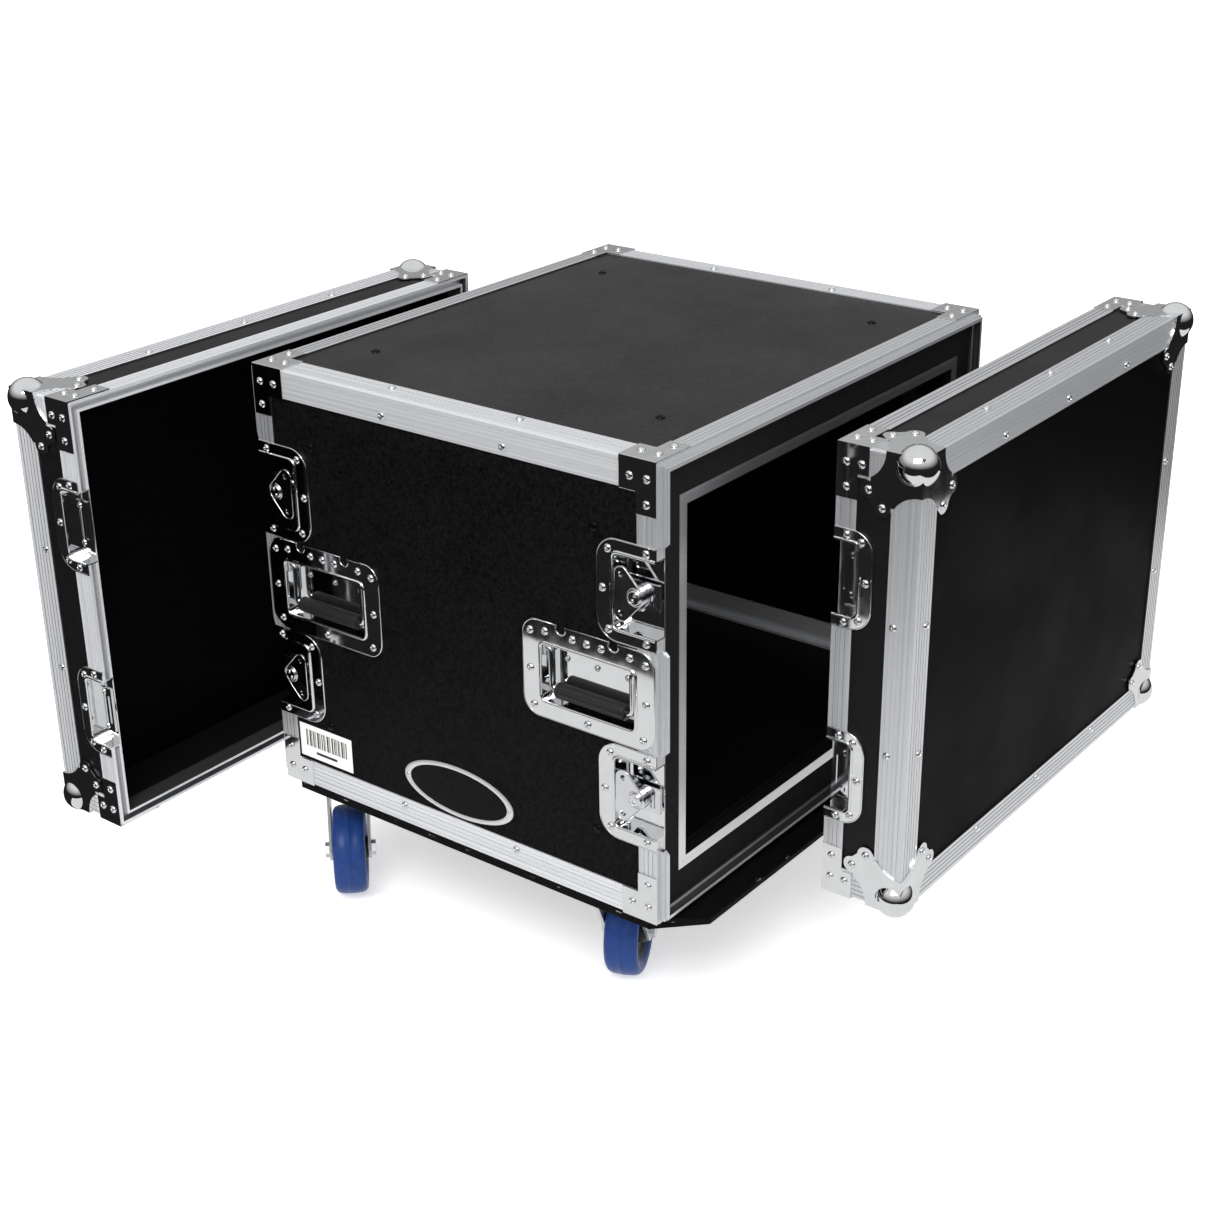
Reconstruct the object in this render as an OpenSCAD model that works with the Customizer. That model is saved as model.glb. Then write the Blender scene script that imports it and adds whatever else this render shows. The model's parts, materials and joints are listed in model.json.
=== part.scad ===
// Shock-mounted 19 inch rack flight case on a caster board, with two lift-off lids.
// Millimetres. The origin is on the floor under the middle of the case. +Z is up.
// The front opening faces -Y, the rear opening faces +Y, and the handles are on the -X and +X sides.

/* [Case body] */
// Outer width of the case across the two handle sides
case_w = 588; // [580:1:620]
// Outer depth of the case between its two open ends
case_d = 503; // [480:1:620]
// Outer height of the case without board and casters
case_h = 472; // [470:1:560]
// Thickness of the laminated plywood panels
ply_t = 9.5; // [9:0.5:10]
// Width of the outer legs of the long aluminium edge angles
edge_leg = 30; // [28:1:32]
// Width of the rim strips beside each opening
rim_leg = 22; // [20:1:24]

/* [Shock-mounted rack] */
// Rack height in standard units of 44.45 mm
rack_units = 8; // [6:1:8]
// Outer width of the inner sleeve
sleeve_w = 512; // [508:1:514]
// Outer height of the inner sleeve
sleeve_h = 388; // [384:1:390]
// Wall thickness of the inner sleeve
sleeve_t = 10; // [9:0.5:12]

/* [Lids] */
// Depth of each lid from its rim to its outer face
lid_t = 88; // [84:1:110]
// Sideways distance of each lid from its closed place
lid_dx = 169; // [150:1:190]
// Gap between each lid and the case
lid_gap = 80; // [70:1:120]
// Height that each lid hangs below its closed place
lid_drop = 12; // [0:1:12]
// Diameter of the ball corners
ball_d = 40; // [36:1:42]

/* [Latches and handles] */
// Height of the latches above and below the middle of the case
latch_dz = 104; // [103:1:110]
// Travel of each latch hook in half a turn of its wing
hook_travel = 14; // [10:1:14]
// Width of the handle dishes
handle_w = 156; // [152:1:158]
// Height of the handle dishes
handle_h = 102; // [98:1:104]

/* [Caster board] */
// Thickness of the caster board
board_t = 13; // [12:1:18]
// Overall length of the caster board
board_l = 560; // [540:1:570]
// Diameter of the caster wheels
wheel_d = 100; // [96:1:102]
// Overall height of a caster
caster_h = 127; // [127:1:140]
// Distance of the swivel axes from the middle plane, sideways
caster_x = 235; // [200:1:235]
// Distance of the front swivel axes from the middle
caster_front = 163; // [140:1:205]
// Distance of the rear swivel axes from the middle
caster_rear = 221; // [180:1:221]

/* [Hidden] */
$fn = 32;
eps = 1;

// Body and extrusions
hw = case_w / 2;
hd = case_d / 2;
case_z0 = caster_h + board_t;
case_z1 = case_z0 + case_h;
mid_z = (case_z0 + case_z1) / 2;
skin = 1.5;                 // wall of the aluminium extrusions
core = skin + ply_t;        // inset of the panels' inner faces
liner = core + skin;        // inset of the extrusions' inner legs
inner_leg = 14;             // width of the extrusions' inner legs
corner_r = 3;               // rounding of the case's long edges
groove_w = 1;
groove_d = 0.5;
tongue_out = 8;             // how far the body's tongue stands out of the rim plane
tongue_a = 4;               // inset of the tongue's outer side
tongue_b = 9;               // inset of the tongue's inner side
tongue_chamfer = 4;         // chamfer of the tongue's ends beside the latches
fit_gap = 0.7;              // clearance around the tongue in the lid's groove
plate = 1.2;                // sheet steel of dishes and braces
brace_long = 52;
brace_short = 41;
brace_short_lid = 34;
brace_strip_lid = 27;
rivet_r = 3.8;
rivet_top_r = 2.4;
rivet_h = 1.7;

// Latch, in a frame with its origin on the rim plane at the face of the case
latch_depth = 67.5;
latch_half = 51;
dish_r = 22;                // corner radius of the dishes
pan_half = 38;              // half height of the latch pan
pan_len = 49.5;             // length of the latch pan on the body
pan_depth = core;
keeper_len = 42;
keeper_pan = 28;
pan_clear = 3;              // how far the keeper's cut runs past the rim plane
hub_y = -22.5;
hub_cap_r = 6.8;            // button on the wing's hub
hub_cap_h = 1.8;
stud_r = 3;
run_gap = 0.05;             // radial running clearance of every pin
hook_half = 13;

// Handle, in a frame with its origin at the middle of the dish on the case's face
handle_y = hd - 2 - handle_w / 2;
handle_pan = [113, 63];
handle_pan_z = -2.5;
pan_gap = 0.2;              // clearance of the handle pan in the panel
handle_depth = 15;
bail_x = -6;
bail_z = 21;
bail_drop = 42;
bail_r = 3.6;
bail_half = 48;
grip_r = 8;
grip_half = 41;
ear_y0 = 52;
notch_y = 31;               // place of the two finger notches in the dish's upper edge
notch_r = 6;

// Shock-mounted rack
sleeve_half_d = hd - 4;
unit = 44.45;
rail_half = 232.55;         // half of the 465.1 mm hole spacing of a 19 inch rack
rail_y = 218;               // place of the rails' mounting faces
rail_face = 20;
rail_leg = 26;
rail_t = 2;
rail_hole_r = 3.2;
rail_h = rack_units * unit;

// Casters
board_w = case_w - 10;
board_cut = 43;
board_step = 1.8;
board_fall = 0.17;
wheel_w = 36;
trail = 36;
axle_z = wheel_d / 2;
axle_r = 5;
king_r = 6;
fork_in = 20;
fork_t = 3;
turn_front_left = 24;
turn_rear_left = 223;
turn_front_right = 42;
turn_rear_right = 205;

// ---------- helpers ----------

module flip_x(s) {
    if (s < 0) mirror([1, 0, 0]) children();
    else children();
}

module flip_y(s) {
    if (s < 0) mirror([0, 1, 0]) children();
    else children();
}

module flip_z(s) {
    if (s < 0) mirror([0, 0, 1]) children();
    else children();
}

// Rectangle with round corners, made of squares and true circles
module rounded(w, h, r) {
    square([w - 2 * r, h], center = true);
    square([w, h - 2 * r], center = true);
    for (x = [-1, 1], y = [-1, 1])
        translate([x * (w / 2 - r), y * (h / 2 - r)]) circle(r);
}

// Outline drawn in Y and Z, thickened along +X from x0
module plate_x(x0, t) {
    translate([x0, 0, 0]) rotate([90, 0, 90]) linear_extrude(t) children();
}

// Outline drawn in X and Z, thickened along +Y from y0
module plate_y(y0, t) {
    translate([0, y0 + t, 0]) rotate([90, 0, 0]) linear_extrude(t) children();
}

// Rectangular outline of the case, set in by d
module case_outline(d) {
    square([case_w - 2 * d, case_h - 2 * d], center = true);
}

// Ring around the case's outline between two insets, from y0 to y1
module ring_y(d0, d1, y0, y1) {
    translate([0, 0, mid_z]) plate_y(y0, y1 - y0) difference() {
        case_outline(d0);
        case_outline(d1);
    }
}

// The same ring with rounded outer corners, for the outermost skin
module skin_ring(d1, y0, y1) {
    translate([0, 0, mid_z]) plate_y(y0, y1 - y0) difference() {
        rounded(case_w, case_h, corner_r);
        case_outline(d1);
    }
}

module box(x0, x1, y0, y1, z0, z1) {
    translate([x0, y0, z0]) cube([x1 - x0, y1 - y0, z1 - z0]);
}

// Blind rivet head standing on a face that looks along +X
module rivet() {
    rotate([0, 90, 0]) cylinder(h = rivet_h, r1 = rivet_r, r2 = rivet_top_r);
}

// Frame of a latch: origin on the rim plane at the case's face, +X outwards, +Y out of the case
module latch_frame(sx, sy, sz) {
    flip_x(sx) flip_y(sy) translate([hw, hd, mid_z + sz * latch_dz]) children();
}

// Frame of a handle: origin at the middle of its dish, +X outwards, +Y towards the rim
module handle_frame(sx, sy) {
    flip_x(sx) flip_y(sy) translate([hw, handle_y, mid_z]) children();
}

// Moves a lid from its closed place to where it stands
module lid_frame(sy) {
    translate([-sy * lid_dx, sy * lid_gap, -lid_drop]) flip_y(sy) children();
}

// Frame of a case corner: the corner point of the rim plane, with the case towards -X, -Y and -Z
module corner_frame(sx, sz, y) {
    translate([0, 0, mid_z]) flip_x(sx) flip_z(sz) translate([hw, y, case_h / 2]) children();
}

// Space that a latch pan takes out of the panel and the rim
module latch_cut() {
    box(-pan_depth - plate, eps, -pan_len - plate, eps, -pan_half - plate, pan_half + plate);
    plate_x(-liner - eps, liner + 2 * eps) for (s = [-1, 1]) scale([1, s])
        polygon([[0, -eps], [tongue_out + eps, -eps], [tongue_out + eps, latch_half + tongue_chamfer + eps],
                 [tongue_out - tongue_chamfer, latch_half], [0, latch_half]]);
}

module all_latches() {
    for (sx = [-1, 1], sy = [-1, 1], sz = [-1, 1]) latch_frame(sx, sy, sz) children();
}

module all_handles() {
    for (sx = [-1, 1], sy = [-1, 1]) handle_frame(sx, sy) children();
}

module handle_pan_outline(grow) {
    translate([0, handle_pan_z])
        rounded(handle_pan[0] + 2 * grow, handle_pan[1] + 2 * grow, 6 + grow);
}

// ---------- case body ----------

module top_panel() {
    color("#1d1d1f")
        box(-hw + core, hw - core, -hd + skin, hd - skin, case_z1 - core, case_z1 - skin);
}

module bottom_panel() {
    color("#1d1d1f")
        box(-hw + core, hw - core, -hd + skin, hd - skin, case_z0 + skin, case_z0 + core);
}

module side_panels() {
    color("#1d1d1f")
        difference() {
            for (s = [-1, 1]) flip_x(s)
                box(hw - core, hw - skin, -hd + skin, hd - skin, case_z0 + core, case_z1 - core);
            all_latches() latch_cut();
            all_handles() plate_x(-core - eps, core + 2 * eps) handle_pan_outline(plate + pan_gap);
        }
}

// Profile of the double angle at a long edge, with the outer corner at the origin
module angle_profile() {
    difference() {
        union() {
            translate([-edge_leg, -skin]) square([edge_leg - corner_r, skin]);
            translate([-skin, -edge_leg]) square([skin, edge_leg - corner_r]);
            translate([-corner_r, -corner_r]) circle(corner_r);
            translate([-core, -core]) square([core - corner_r, core]);
            translate([-core, -core]) square([core, core - corner_r]);
            translate([-liner - inner_leg + skin, -liner]) square([inner_leg, skin]);
            translate([-liner, -liner - inner_leg + skin]) square([skin, inner_leg]);
        }
        translate([-core + 1.6, -core + 1.6]) square([core - 5, core - 5]);
        for (g = [6, 11, 16, 21, 26]) {
            translate([-g, -groove_d]) square([groove_w, eps]);
            translate([-groove_d, -g]) square([eps, groove_w]);
        }
    }
}

module edge_angles() {
    len = 2 * (hd - rim_leg);
    color("#d5d7da")
        translate([0, 0, mid_z]) for (sx = [-1, 1], sz = [-1, 1]) flip_x(sx) flip_z(sz)
            translate([hw, 0, case_h / 2]) plate_y(-len / 2, len) angle_profile();
}

// Rim of one open end, with the tongue that enters the lid's groove
module rim_frame() {
    difference() {
        union() {
            skin_ring(skin, hd - rim_leg, hd);
            skin_ring(liner, hd - skin, hd);
            ring_y(core, liner, hd - inner_leg, hd);
            ring_y(tongue_a, tongue_b, hd, hd + tongue_out - 2.5);
            ring_y(tongue_a + 1.5, tongue_b, hd + tongue_out - 3, hd + tongue_out);
        }
        for (g = [5, 10, 15]) ring_y(-eps, groove_d, hd - g - groove_w, hd - g);
    }
}

module rim_frames() {
    color("#d5d7da")
        difference() {
            for (s = [-1, 1]) flip_y(s) rim_frame();
            all_latches() latch_cut();
        }
}

// L-shaped brace outline with its corner at the origin, in the quadrant of -X and -Y.
// Its long leg lies along the second axis.
module brace_outline(strip, short) {
    translate([-rim_leg - 0.5, -brace_long]) square([rim_leg + 0.5, brace_long]);
    translate([-short, -strip]) square([short, strip]);
}

// Brace folded over the corner: one leg pair on the side face, one on the top face
module brace(with_top, short = brace_short) {
    strip = short < brace_short ? brace_strip_lid : edge_leg + 1;
    plate_x(0, plate) brace_outline(strip, short);
    if (with_top) {
        mirror([1, 0, -1]) plate_x(0, plate) brace_outline(strip, short);
        box(0, plate, -short, 0, -eps, plate);
        box(-eps, plate, -short, 0, 0, plate);
    }
}

module corner_braces() {
    color("#c9cbce")
        for (sx = [-1, 1], sy = [-1, 1]) flip_y(sy) {
            corner_frame(sx, 1, hd) brace(true);
            corner_frame(sx, -1, hd) brace(false);
        }
}

// Rivets of one brace face, standing on the sheet
module brace_rivets(short = brace_short) {
    for (p = [[-10, -17], [12 - short, -17], [-10.5, -41]])
        translate([plate, p[0], p[1]]) rivet();
}

module latch_rivets() {
    for (p = [[-11, 44], [-11, -44], [-54, 40], [-54, -40], [-60.5, 0]])
        translate([plate, p[0], p[1]]) rivet();
}

module handle_rivets() {
    top = [-68, -50, -17, 0, 17, 50, 68];
    for (y = top) translate([plate, y, abs(y) > 60 ? 38 : 41]) rivet();
    for (s = [-1, 1]) {
        translate([plate, s * 68.5, -2]) rivet();
        translate([plate, s * 65, -40]) rivet();
    }
    translate([plate, 0, -43]) rivet();
}

module case_rivets() {
    color("#b9bbbe") {
        for (sx = [-1, 1], sy = [-1, 1]) flip_y(sy) {
            corner_frame(sx, 1, hd) {
                brace_rivets();
                mirror([1, 0, -1]) brace_rivets();
            }
            corner_frame(sx, -1, hd) brace_rivets();
            for (sz = [-1, 1]) corner_frame(sx, sz, 76) translate([0, 0, -21.5]) rivet();
            corner_frame(sx, 1, 80) mirror([1, 0, -1]) translate([0, 0, -21.5]) rivet();
        }
        all_latches() latch_rivets();
        all_handles() handle_rivets();
    }
}

// Black screws that hold the foam-mounted sleeve's brackets to the panels
module panel_screws() {
    color("#141416")
        for (sx = [-1, 1], sy = [-1, 1]) {
            translate([sx * 190, sy * 180, case_z1 - skin]) cylinder(h = 2, r1 = 4.2, r2 = 2.6);
            for (sz = [-1, 1]) flip_x(sx)
                translate([hw - skin, sy * 180, mid_z + sz * 157 + 3])
                    rotate([0, 90, 0]) cylinder(h = 2, r1 = 4.2, r2 = 2.6);
        }
}

// ---------- shock-mounted rack ----------

module foam_liner() {
    foam_d = hd - skin - 1;
    side = case_h / 2 - liner;
    color("#1a1a1a")
        difference() {
            for (s = [-1, 1]) {
                flip_x(s) box(sleeve_w / 2, hw - liner, -foam_d, foam_d, mid_z - side, mid_z + side);
                translate([0, 0, mid_z]) flip_z(s)
                    box(-sleeve_w / 2, sleeve_w / 2, -foam_d, foam_d, sleeve_h / 2, side);
            }
            all_handles() plate_x(-handle_depth - 2.5, handle_depth) handle_pan_outline(plate + 1);
        }
}

module inner_sleeve() {
    color("#161617")
        translate([0, 0, mid_z]) plate_y(-sleeve_half_d, 2 * sleeve_half_d) difference() {
            square([sleeve_w, sleeve_h], center = true);
            square([sleeve_w - 2 * sleeve_t, sleeve_h - 2 * sleeve_t], center = true);
        }
}

// Mitred aluminium edging on the sleeve's two open ends
module inner_edging() {
    lip = 1.5;
    leg = 16;
    color("#d5d7da")
        for (s = [-1, 1]) flip_y(s) translate([0, 0, mid_z]) {
            plate_y(sleeve_half_d, lip) difference() {
                square([sleeve_w, sleeve_h], center = true);
                square([sleeve_w - 2 * (sleeve_t + lip), sleeve_h - 2 * (sleeve_t + lip)], center = true);
            }
            plate_y(sleeve_half_d - leg, leg) difference() {
                square([sleeve_w - 2 * sleeve_t, sleeve_h - 2 * sleeve_t], center = true);
                square([sleeve_w - 2 * (sleeve_t + lip), sleeve_h - 2 * (sleeve_t + lip)], center = true);
            }
        }
}

// One rack rail: an angle with its face towards the open end and its leg on the sleeve's wall
module rack_rail() {
    wall = sleeve_w / 2 - sleeve_t;
    difference() {
        union() {
            box(wall - rail_face - 6, wall, rail_y - rail_t, rail_y, -rail_h / 2, rail_h / 2);
            box(wall - rail_t, wall, rail_y - rail_leg, rail_y, -rail_h / 2, rail_h / 2);
        }
        for (u = [0 : rack_units - 1], h = [6.35, 22.225, 38.1])
            translate([rail_half, rail_y, -rail_h / 2 + u * unit + h])
                rotate([90, 0, 0]) cylinder(h = 3 * rail_t, r = rail_hole_r, center = true);
    }
}

module rack_rails() {
    color("#222224")
        for (sx = [-1, 1], sy = [-1, 1])
            translate([0, 0, mid_z]) flip_x(sx) flip_y(sy) rack_rail();
}

// Flat aluminium bars that tie the front rails to the rear rails along the sleeve's walls
module side_bars() {
    wall = sleeve_w / 2 - sleeve_t;
    len = rail_y - rail_leg - 2;
    low = sleeve_h / 2 - sleeve_t;
    color("#cfd1d4")
        for (sx = [-1, 1], sz = [-1, 1]) translate([0, 0, mid_z]) flip_x(sx) flip_z(sz) {
            box(wall - 3, wall, -len, len, low - 28, low);
            box(wall - 12, wall, -len, len, low - 3, low);
        }
}

// ---------- caster board ----------

module caster_board() {
    w = board_w / 2;
    l = board_l / 2;
    c = board_cut;
    z = case_z0;
    color("#1b1b1c")
        difference() {
            translate([0, 0, caster_h]) linear_extrude(board_t)
                polygon([[w, l - c], [w - c, l], [c - w, l], [-w, l - c],
                         [-w, c - l], [c - w, -l], [w - c, -l], [w, c - l]]);
            for (s = [-1, 1]) flip_y(s) translate([-w - eps, 0, 0]) rotate([90, 0, 90])
                linear_extrude(board_w + 2 * eps)
                    polygon([[hd, z + eps], [hd, z - board_step],
                             [l + eps, z - board_step - board_fall * (l + eps - hd)],
                             [l + eps, z + eps]]);
        }
}

// Frame of a caster: on the floor under its swivel axis
module caster_frame(sx, sy) {
    translate([sx * caster_x, sy < 0 ? -caster_front : caster_rear, 0]) children();
}

module caster_plates() {
    color("#c3c5c8")
        for (sx = [-1, 1], sy = [-1, 1]) caster_frame(sx, sy) {
            translate([0, 0, caster_h - 3]) linear_extrude(3) rounded(80, 74, 12);
            translate([0, 0, caster_h - 10]) cylinder(h = 7, r = 26, $fn = 48);
            translate([0, 0, caster_h - 22]) cylinder(h = 20, r = king_r);
            translate([0, 0, caster_h - 25]) cylinder(h = 3, r = 9, $fn = 6);
            for (x = [-1, 1], y = [-1, 1])
                translate([x * 31, y * 28, caster_h - 8]) cylinder(h = 5, r = 6.5, $fn = 6);
        }
}

function turn_of(sx, sy) =
    sx < 0 ? (sy < 0 ? turn_front_left : turn_rear_left)
           : (sy < 0 ? turn_front_right : turn_rear_right);

// One leg of the fork, in the plane of the wheel
module fork_leg() {
    top = caster_h - 15;
    polygon([[-26, top + 4], [26, top + 4], [trail + 12, axle_z + 4], [trail - 9, axle_z - 7]]);
    translate([trail, axle_z]) circle(12);
}

module fork(sx, sy) {
    crown = caster_h - 17;
    color("#c3c5c8")
        caster_frame(sx, sy) rotate(turn_of(sx, sy)) {
            difference() {
                union() {
                    translate([0, 0, crown]) cylinder(h = 6.5, r = 28, $fn = 48);
                    box(-26, 26, -fork_in - fork_t, fork_in + fork_t, crown, crown + fork_t);
                }
                cylinder(h = 2 * caster_h, r = king_r + run_gap);
            }
            for (s = [-1, 1])
                plate_y(s > 0 ? fork_in : -fork_in - fork_t, fork_t) fork_leg();
            translate([trail, 0, axle_z]) rotate([90, 0, 0]) {
                cylinder(h = 2 * (fork_in + fork_t) + 4, r = axle_r, center = true);
                for (s = [-1, 1]) translate([0, 0, s * (fork_in + fork_t + 2.5)])
                    cylinder(h = 5, r = 8.5, center = true, $fn = 6);
            }
        }
}

// Wheel: tread with round shoulders, recessed sides, hub and bore
module wheel(sx, sy) {
    r = wheel_d / 2;
    w = wheel_w / 2;
    color("#2a55b5")
        caster_frame(sx, sy) rotate(turn_of(sx, sy)) translate([trail, 0, axle_z])
            rotate([90, 0, 0]) difference() {
                union() {
                    rotate_extrude($fn = 64) polygon([
                        [8, -w + 8], [26, -w + 8], [34, -w + 1.5], [42, -w], [47, -w + 2],
                        [49.4, -w + 7], [r, -w + 12], [r, w - 12], [49.4, w - 7], [47, w - 2],
                        [42, w], [34, w - 1.5], [26, w - 8], [8, w - 8]]);
                    cylinder(h = 2 * w + 3, r = 15, center = true);
                }
                cylinder(h = 4 * w, r = axle_r + run_gap, center = true);
            }
}

// ---------- latches ----------

module dish_outline(len, half) {
    translate([-len + dish_r, -half]) square([len - dish_r, 2 * half]);
    translate([-len, -half + dish_r]) square([dish_r + eps, 2 * (half - dish_r)]);
    for (s = [-1, 1]) translate([-len + dish_r, s * (half - dish_r)]) circle(dish_r, $fn = 64);
}

module latch_dish() {
    difference() {
        union() {
            plate_x(0, plate) dish_outline(latch_depth, latch_half);
            plate_x(-skin, skin) intersection() {
                dish_outline(latch_depth, latch_half);
                translate([-latch_depth, -latch_half])
                    square([latch_depth - rim_leg, 2 * latch_half]);
            }
            box(-pan_depth - plate, 0, -pan_len - plate, 0, -pan_half - plate, pan_half + plate);
        }
        plate_x(-pan_depth, pan_depth + plate + eps) {
            translate([-pan_len / 2, 0]) rounded(pan_len, 2 * pan_half, 8);
            translate([-pan_len / 2, -pan_half]) square([pan_len / 2 + eps, 2 * pan_half]);
        }
    }
    translate([-pan_depth - plate / 2, hub_y, 0]) rotate([0, 90, 0])
        cylinder(h = pan_depth, r = stud_r);
}

module latch_dishes() {
    color("#c9cbce") all_latches() latch_dish();
}

// Butterfly wing with its hub. The wing turns on the dish's stud.
module wing_shape() {
    plate_x(1.6, 1.9) difference() {
        union() {
            polygon([[-23, -19], [-23, 19], [-8.7, 24], [7.5, 5.9], [7.5, -5.9], [-8.7, -24]]);
            for (s = [-1, 1]) translate([-15, s * 19]) circle(8);
            circle(9.5);
        }
        for (s = [-1, 1]) translate([-15, s * 19]) circle(3);
    }
    difference() {
        union() {
            translate([-10.6, 0, 0]) rotate([0, 90, 0]) cylinder(h = 7, r = 6.5);
            translate([-4.8, 0, 0]) rotate([0, 90, 0]) cylinder(h = 6.6, r = 9.5);
        }
        translate([-12, 0, 0]) rotate([0, 90, 0]) cylinder(h = 12, r = stud_r + run_gap);
    }
    translate([3, 0, 0]) rotate([0, 90, 0]) cylinder(h = hub_cap_h + 0.5, r = hub_cap_r);
    for (s = [-1, 1]) translate([3.5 + hub_cap_h - 0.2, 1.5 * s, 3 * s]) rotate([0, 90, 0])
        cylinder(h = 0.9, r = 1.7);
}

module wing(sx, sy, sz) {
    color("#b4b6b9") latch_frame(sx, sy, sz) translate([0, hub_y, 0]) wing_shape();
}

// Forked hook plate that slides along the pan, with a turned-down front edge
module hook_shape() {
    difference() {
        union() {
            box(-7.6, -5.4, -45.5, -1, -hook_half, hook_half);
            box(-8.8, -5.4, -3.5, -1, -hook_half, hook_half);
        }
        translate([0, hub_y, 0]) rotate([0, 90, 0]) cylinder(h = 30, r = 7.2, center = true);
        box(-15, 0, -46, hub_y, -7.2, 7.2);
        for (y = [-12, -8]) box(-15, 0, y, y + 1.5, -8, 8);
    }
}

module hook(sx, sy, sz) {
    color("#9fa2a6") latch_frame(sx, sy, sz) hook_shape();
}

// ---------- handles ----------

module handle_dish() {
    strip_y = hd - rim_leg - handle_y;
    difference() {
        union() {
            plate_x(0, plate) rounded(handle_w, handle_h, 18);
            plate_x(-skin, skin) intersection() {
                rounded(handle_w, handle_h, 18);
                translate([-handle_w / 2, -handle_h / 2]) square([handle_w / 2 + strip_y, handle_h]);
            }
            plate_x(-handle_depth - plate, handle_depth + plate) handle_pan_outline(plate);
        }
        plate_x(-handle_depth, handle_depth + plate + eps) handle_pan_outline(0);
        for (s = [-1, 1]) translate([0, s * notch_y, handle_h / 2 - notch_r / 2]) rotate([0, 90, 0])
            cylinder(h = 10, r = notch_r, center = true);
    }
    difference() {
        for (s = [-1, 1]) flip_y(s)
            box(-handle_depth - 0.2, -1.5, ear_y0, handle_pan[0] / 2 + 0.2, bail_z - 7, bail_z + 7);
        translate([bail_x, 0, bail_z]) rotate([90, 0, 0])
            cylinder(h = handle_w, r = bail_r + run_gap, center = true);
    }
}

module handle_dishes() {
    color("#c9cbce") all_handles() handle_dish();
}

// Sprung steel bail with its rubber grip, hanging in the dish
module handle_shape() {
    translate([bail_x, 0, bail_z]) {
        for (s = [-1, 1]) flip_y(s) {
            translate([0, bail_half, 0]) rotate([-90, 0, 0])
                cylinder(h = handle_pan[0] / 2 - bail_half - 1, r = bail_r);
            translate([0, bail_half, -bail_drop]) cylinder(h = bail_drop, r = bail_r);
            translate([0, bail_half, 0]) sphere(bail_r);
            translate([0, bail_half, -bail_drop]) sphere(bail_r);
        }
        translate([0, 0, -bail_drop]) rotate([90, 0, 0]) {
            cylinder(h = 2 * bail_half, r = bail_r, center = true);
            cylinder(h = 2 * grip_half, r = grip_r, center = true);
        }
    }
}

module handle(sx, sy) {
    color("#232325") handle_frame(sx, sy) handle_shape();
}

module nameplate() {
    color("#b9bbbe")
        translate([-hw + skin - 2, 0, case_z0 + 62]) rotate([90, 0, 90]) linear_extrude(2) {
            square([88, 58], center = true);
            for (s = [-1, 1]) translate([s * 44, 0]) circle(29, $fn = 64);
        }
}

// ---------- lids ----------

lid_y = hd + lid_t;         // outer face of a closed lid

module lid_panel(sy) {
    color("#1d1d1f") lid_frame(sy)
        translate([0, 0, mid_z]) plate_y(lid_y - core, ply_t) case_outline(core);
}

module lid_walls(sy) {
    w = hw - core;
    h = case_h / 2 - core;
    y0 = hd + tongue_out + 2.5;
    y1 = lid_y - core;
    color("#1d1d1f") lid_frame(sy) difference() {
        translate([0, 0, mid_z]) for (s = [-1, 1]) {
            flip_x(s) box(w, w + ply_t, y0, y1, -h, h);
            flip_z(s) box(-w, w, y0, y1, h, h + ply_t);
        }
        lid_keeper_frames() keeper_cut();
    }
}

module lid_edge_angles(sy) {
    color("#d5d7da") lid_frame(sy) {
        difference() {
            union() {
                skin_ring(edge_leg, lid_y - skin, lid_y);
                skin_ring(skin, lid_y - edge_leg, lid_y);
                ring_y(skin, core, lid_y - core, lid_y - skin);
            }
            ring_y(skin + 2, core - 2, lid_y - core + 2, lid_y - skin - 2);
            for (g = [6, 11, 16, 21, 26]) {
                ring_y(-eps, groove_d, lid_y - g, lid_y - g + groove_w);
                ring_y(g - groove_w, g, lid_y - groove_d, lid_y + eps);
            }
        }
        translate([0, 0, mid_z]) for (sx = [-1, 1], sz = [-1, 1]) flip_x(sx) flip_z(sz)
            translate([hw, 0, case_h / 2])
                plate_y(hd + rim_leg, lid_t - rim_leg - edge_leg) angle_profile();
    }
}

// Lid rim with the groove that takes the body's tongue
module lid_rim(sy) {
    floor_y = hd + tongue_out + 1;
    color("#d5d7da") lid_frame(sy) difference() {
        union() {
            skin_ring(skin, hd, hd + rim_leg);
            skin_ring(tongue_a - fit_gap, hd, floor_y);
            skin_ring(liner, floor_y, floor_y + skin);
            ring_y(tongue_b + fit_gap, liner, hd, floor_y);
            ring_y(core, liner, floor_y, hd + rim_leg);
        }
        for (g = [5, 10, 15]) ring_y(-eps, groove_d, hd + g, hd + g + groove_w);
        lid_keeper_frames() keeper_cut();
    }
}

// Rounded corner plate of a ball corner, with the corner at the origin
module ball_outline() {
    far = [54, 39];
    difference() {
        union() {
            polygon([[0, 0], [50, 0], [52, 30], [57, 45], [45, 57], [30, 52], [0, 50]]);
            translate([far[0], far[1]]) circle(9);
            translate([far[1], far[0]]) circle(9);
        }
        translate([68, 0]) circle(31, $fn = 64);
        translate([0, 68]) circle(31, $fn = 64);
    }
}

module ball_corner() {
    inset = 11;
    t = 1.5;
    seam = 37;
    linear_extrude(t) rotate(180) ball_outline();
    plate_x(0, t) rotate(180) ball_outline();
    plate_y(0, t) rotate(180) ball_outline();
    box(-seam, t, 0, t, 0, t);
    box(0, t, -seam, t, 0, t);
    box(0, t, 0, t, -seam, t);
    difference() {
        translate([-inset, -inset, -inset]) rotate([0, 55, 45]) sphere(ball_d / 2, $fn = 64);
        translate([-2 * ball_d, -2 * ball_d, -2 * ball_d]) cube(2 * ball_d + t / 3);
    }
}

module ball_rivets() {
    for (p = [[-54, -39], [-39, -54]]) translate([1.5, p[0], p[1]]) rivet();
}

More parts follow.
